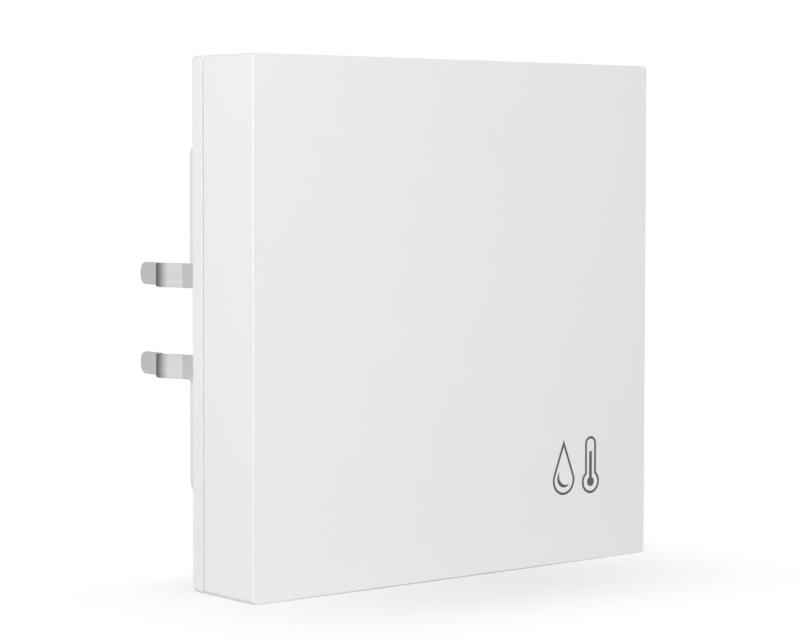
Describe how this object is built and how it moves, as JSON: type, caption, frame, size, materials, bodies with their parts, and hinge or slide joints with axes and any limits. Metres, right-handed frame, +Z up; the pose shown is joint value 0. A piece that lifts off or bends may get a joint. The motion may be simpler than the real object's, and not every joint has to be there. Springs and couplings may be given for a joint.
{
  "type": "room sensor",
  "caption": "Square white wall sensor for room temperature and humidity: flat push-fit cover with two small symbols, base plate, shallow rear housing and sprung steel clips.",
  "frame": {"origin": "centre of the base plate's back, on the wall's surface", "axes": "+X to the viewer's right, +Y into the wall, +Z up; the cover faces -Y"},
  "size_m": [0.086, 0.038, 0.086],
  "materials": {
    "cover_plastic": "fine matt, white",
    "plate_plastic": "fine matt, white",
    "housing_plastic": "matt, white",
    "symbol_ink": "matt, dark grey",
    "spring_steel": "rolled sheet, satin",
    "rivet_metal": "drawn, satin",
    "screw_steel": "zinc plated",
    "circuit_board": "green solder mask",
    "sensor_circuit_board": "green solder mask",
    "chip_package": "moulded, black",
    "capacitor_can": "drawn can",
    "ferrite": "sintered, dark grey",
    "ceramic_part": "tan ceramic",
    "resistor_part": "black film on ceramic",
    "crystal_can": "plated lid",
    "switch_plastic": "moulded, black",
    "dome_steel": "stamped",
    "button_plastic": "moulded, red",
    "lamp_lens": "tinted, clear",
    "header_plastic": "moulded, black",
    "bus_header_plastic": "moulded, black",
    "tinned_pin": "tinned",
    "gold_pin": "gold flash",
    "foam": "open-cell foam, dark grey"
  },
  "bodies": {
    "base": {"base_plate": "plate_plastic", "rear_housing": "housing_plastic", "housing_screws": "screw_steel", "sensor_board_screws": "screw_steel", "clip_plate_left": "spring_steel", "clip_plate_right": "spring_steel", "clip_rivets_left": "rivet_metal", "clip_rivets_right": "rivet_metal", "main_board": "circuit_board", "sensor_board": "sensor_circuit_board", "bus_header": "bus_header_plastic", "bus_pins": "tinned_pin", "microcontroller": "chip_package", "bus_transceiver": "chip_package", "voltage_regulator": "chip_package", "surge_diode": "chip_package", "sensing_element": "chip_package", "storage_capacitor": "capacitor_can", "power_inductor": "ferrite", "ceramic_capacitors": "ceramic_part", "chip_resistors": "resistor_part", "quartz_crystal": "crystal_can", "programming_switch": "switch_plastic", "switch_dome": "dome_steel", "programming_lamp": "lamp_lens", "link_header": "header_plastic", "link_socket": "header_plastic", "link_pins": "gold_pin", "foam_wall": "foam"},
    "cover": {"front_cover": "cover_plastic", "drop_symbol": "symbol_ink", "thermometer_symbol": "symbol_ink"},
    "button": {"programming_button": "button_plastic"},
    "lower_left_clip": {"clip_lower_left": "spring_steel"},
    "upper_left_clip": {"clip_upper_left": "spring_steel"},
    "lower_right_clip": {"clip_lower_right": "spring_steel"},
    "upper_right_clip": {"clip_upper_right": "spring_steel"}
  },
  "joints": [
    {"name": "cover_pull", "type": "slide", "parent": "base", "child": "cover", "axis": [0, -1, 0], "range_m": [0, 0.03]},
    {"name": "button_press", "type": "slide", "parent": "base", "child": "button", "axis": [0, 1, 0], "range_m": [0, 0.0004], "stiffness_N_per_m": 2000},
    {"name": "lower_left_flex", "type": "hinge", "parent": "base", "child": "lower_left_clip", "pos_m": [-0.0382, 0.0085, -0.0075], "axis": [0, 0, -1], "range_deg": [0, 12], "stiffness_Nm_per_rad": 0.5},
    {"name": "upper_left_flex", "type": "hinge", "parent": "base", "child": "upper_left_clip", "pos_m": [-0.0382, 0.0085, 0.0075], "axis": [0, 0, -1], "range_deg": [0, 12], "stiffness_Nm_per_rad": 0.5},
    {"name": "lower_right_flex", "type": "hinge", "parent": "base", "child": "lower_right_clip", "pos_m": [0.0382, 0.0085, -0.0075], "axis": [0, 0, 1], "range_deg": [0, 12], "stiffness_Nm_per_rad": 0.5},
    {"name": "upper_right_flex", "type": "hinge", "parent": "base", "child": "upper_right_clip", "pos_m": [0.0382, 0.0085, 0.0075], "axis": [0, 0, 1], "range_deg": [0, 12], "stiffness_Nm_per_rad": 0.5}
  ]
}
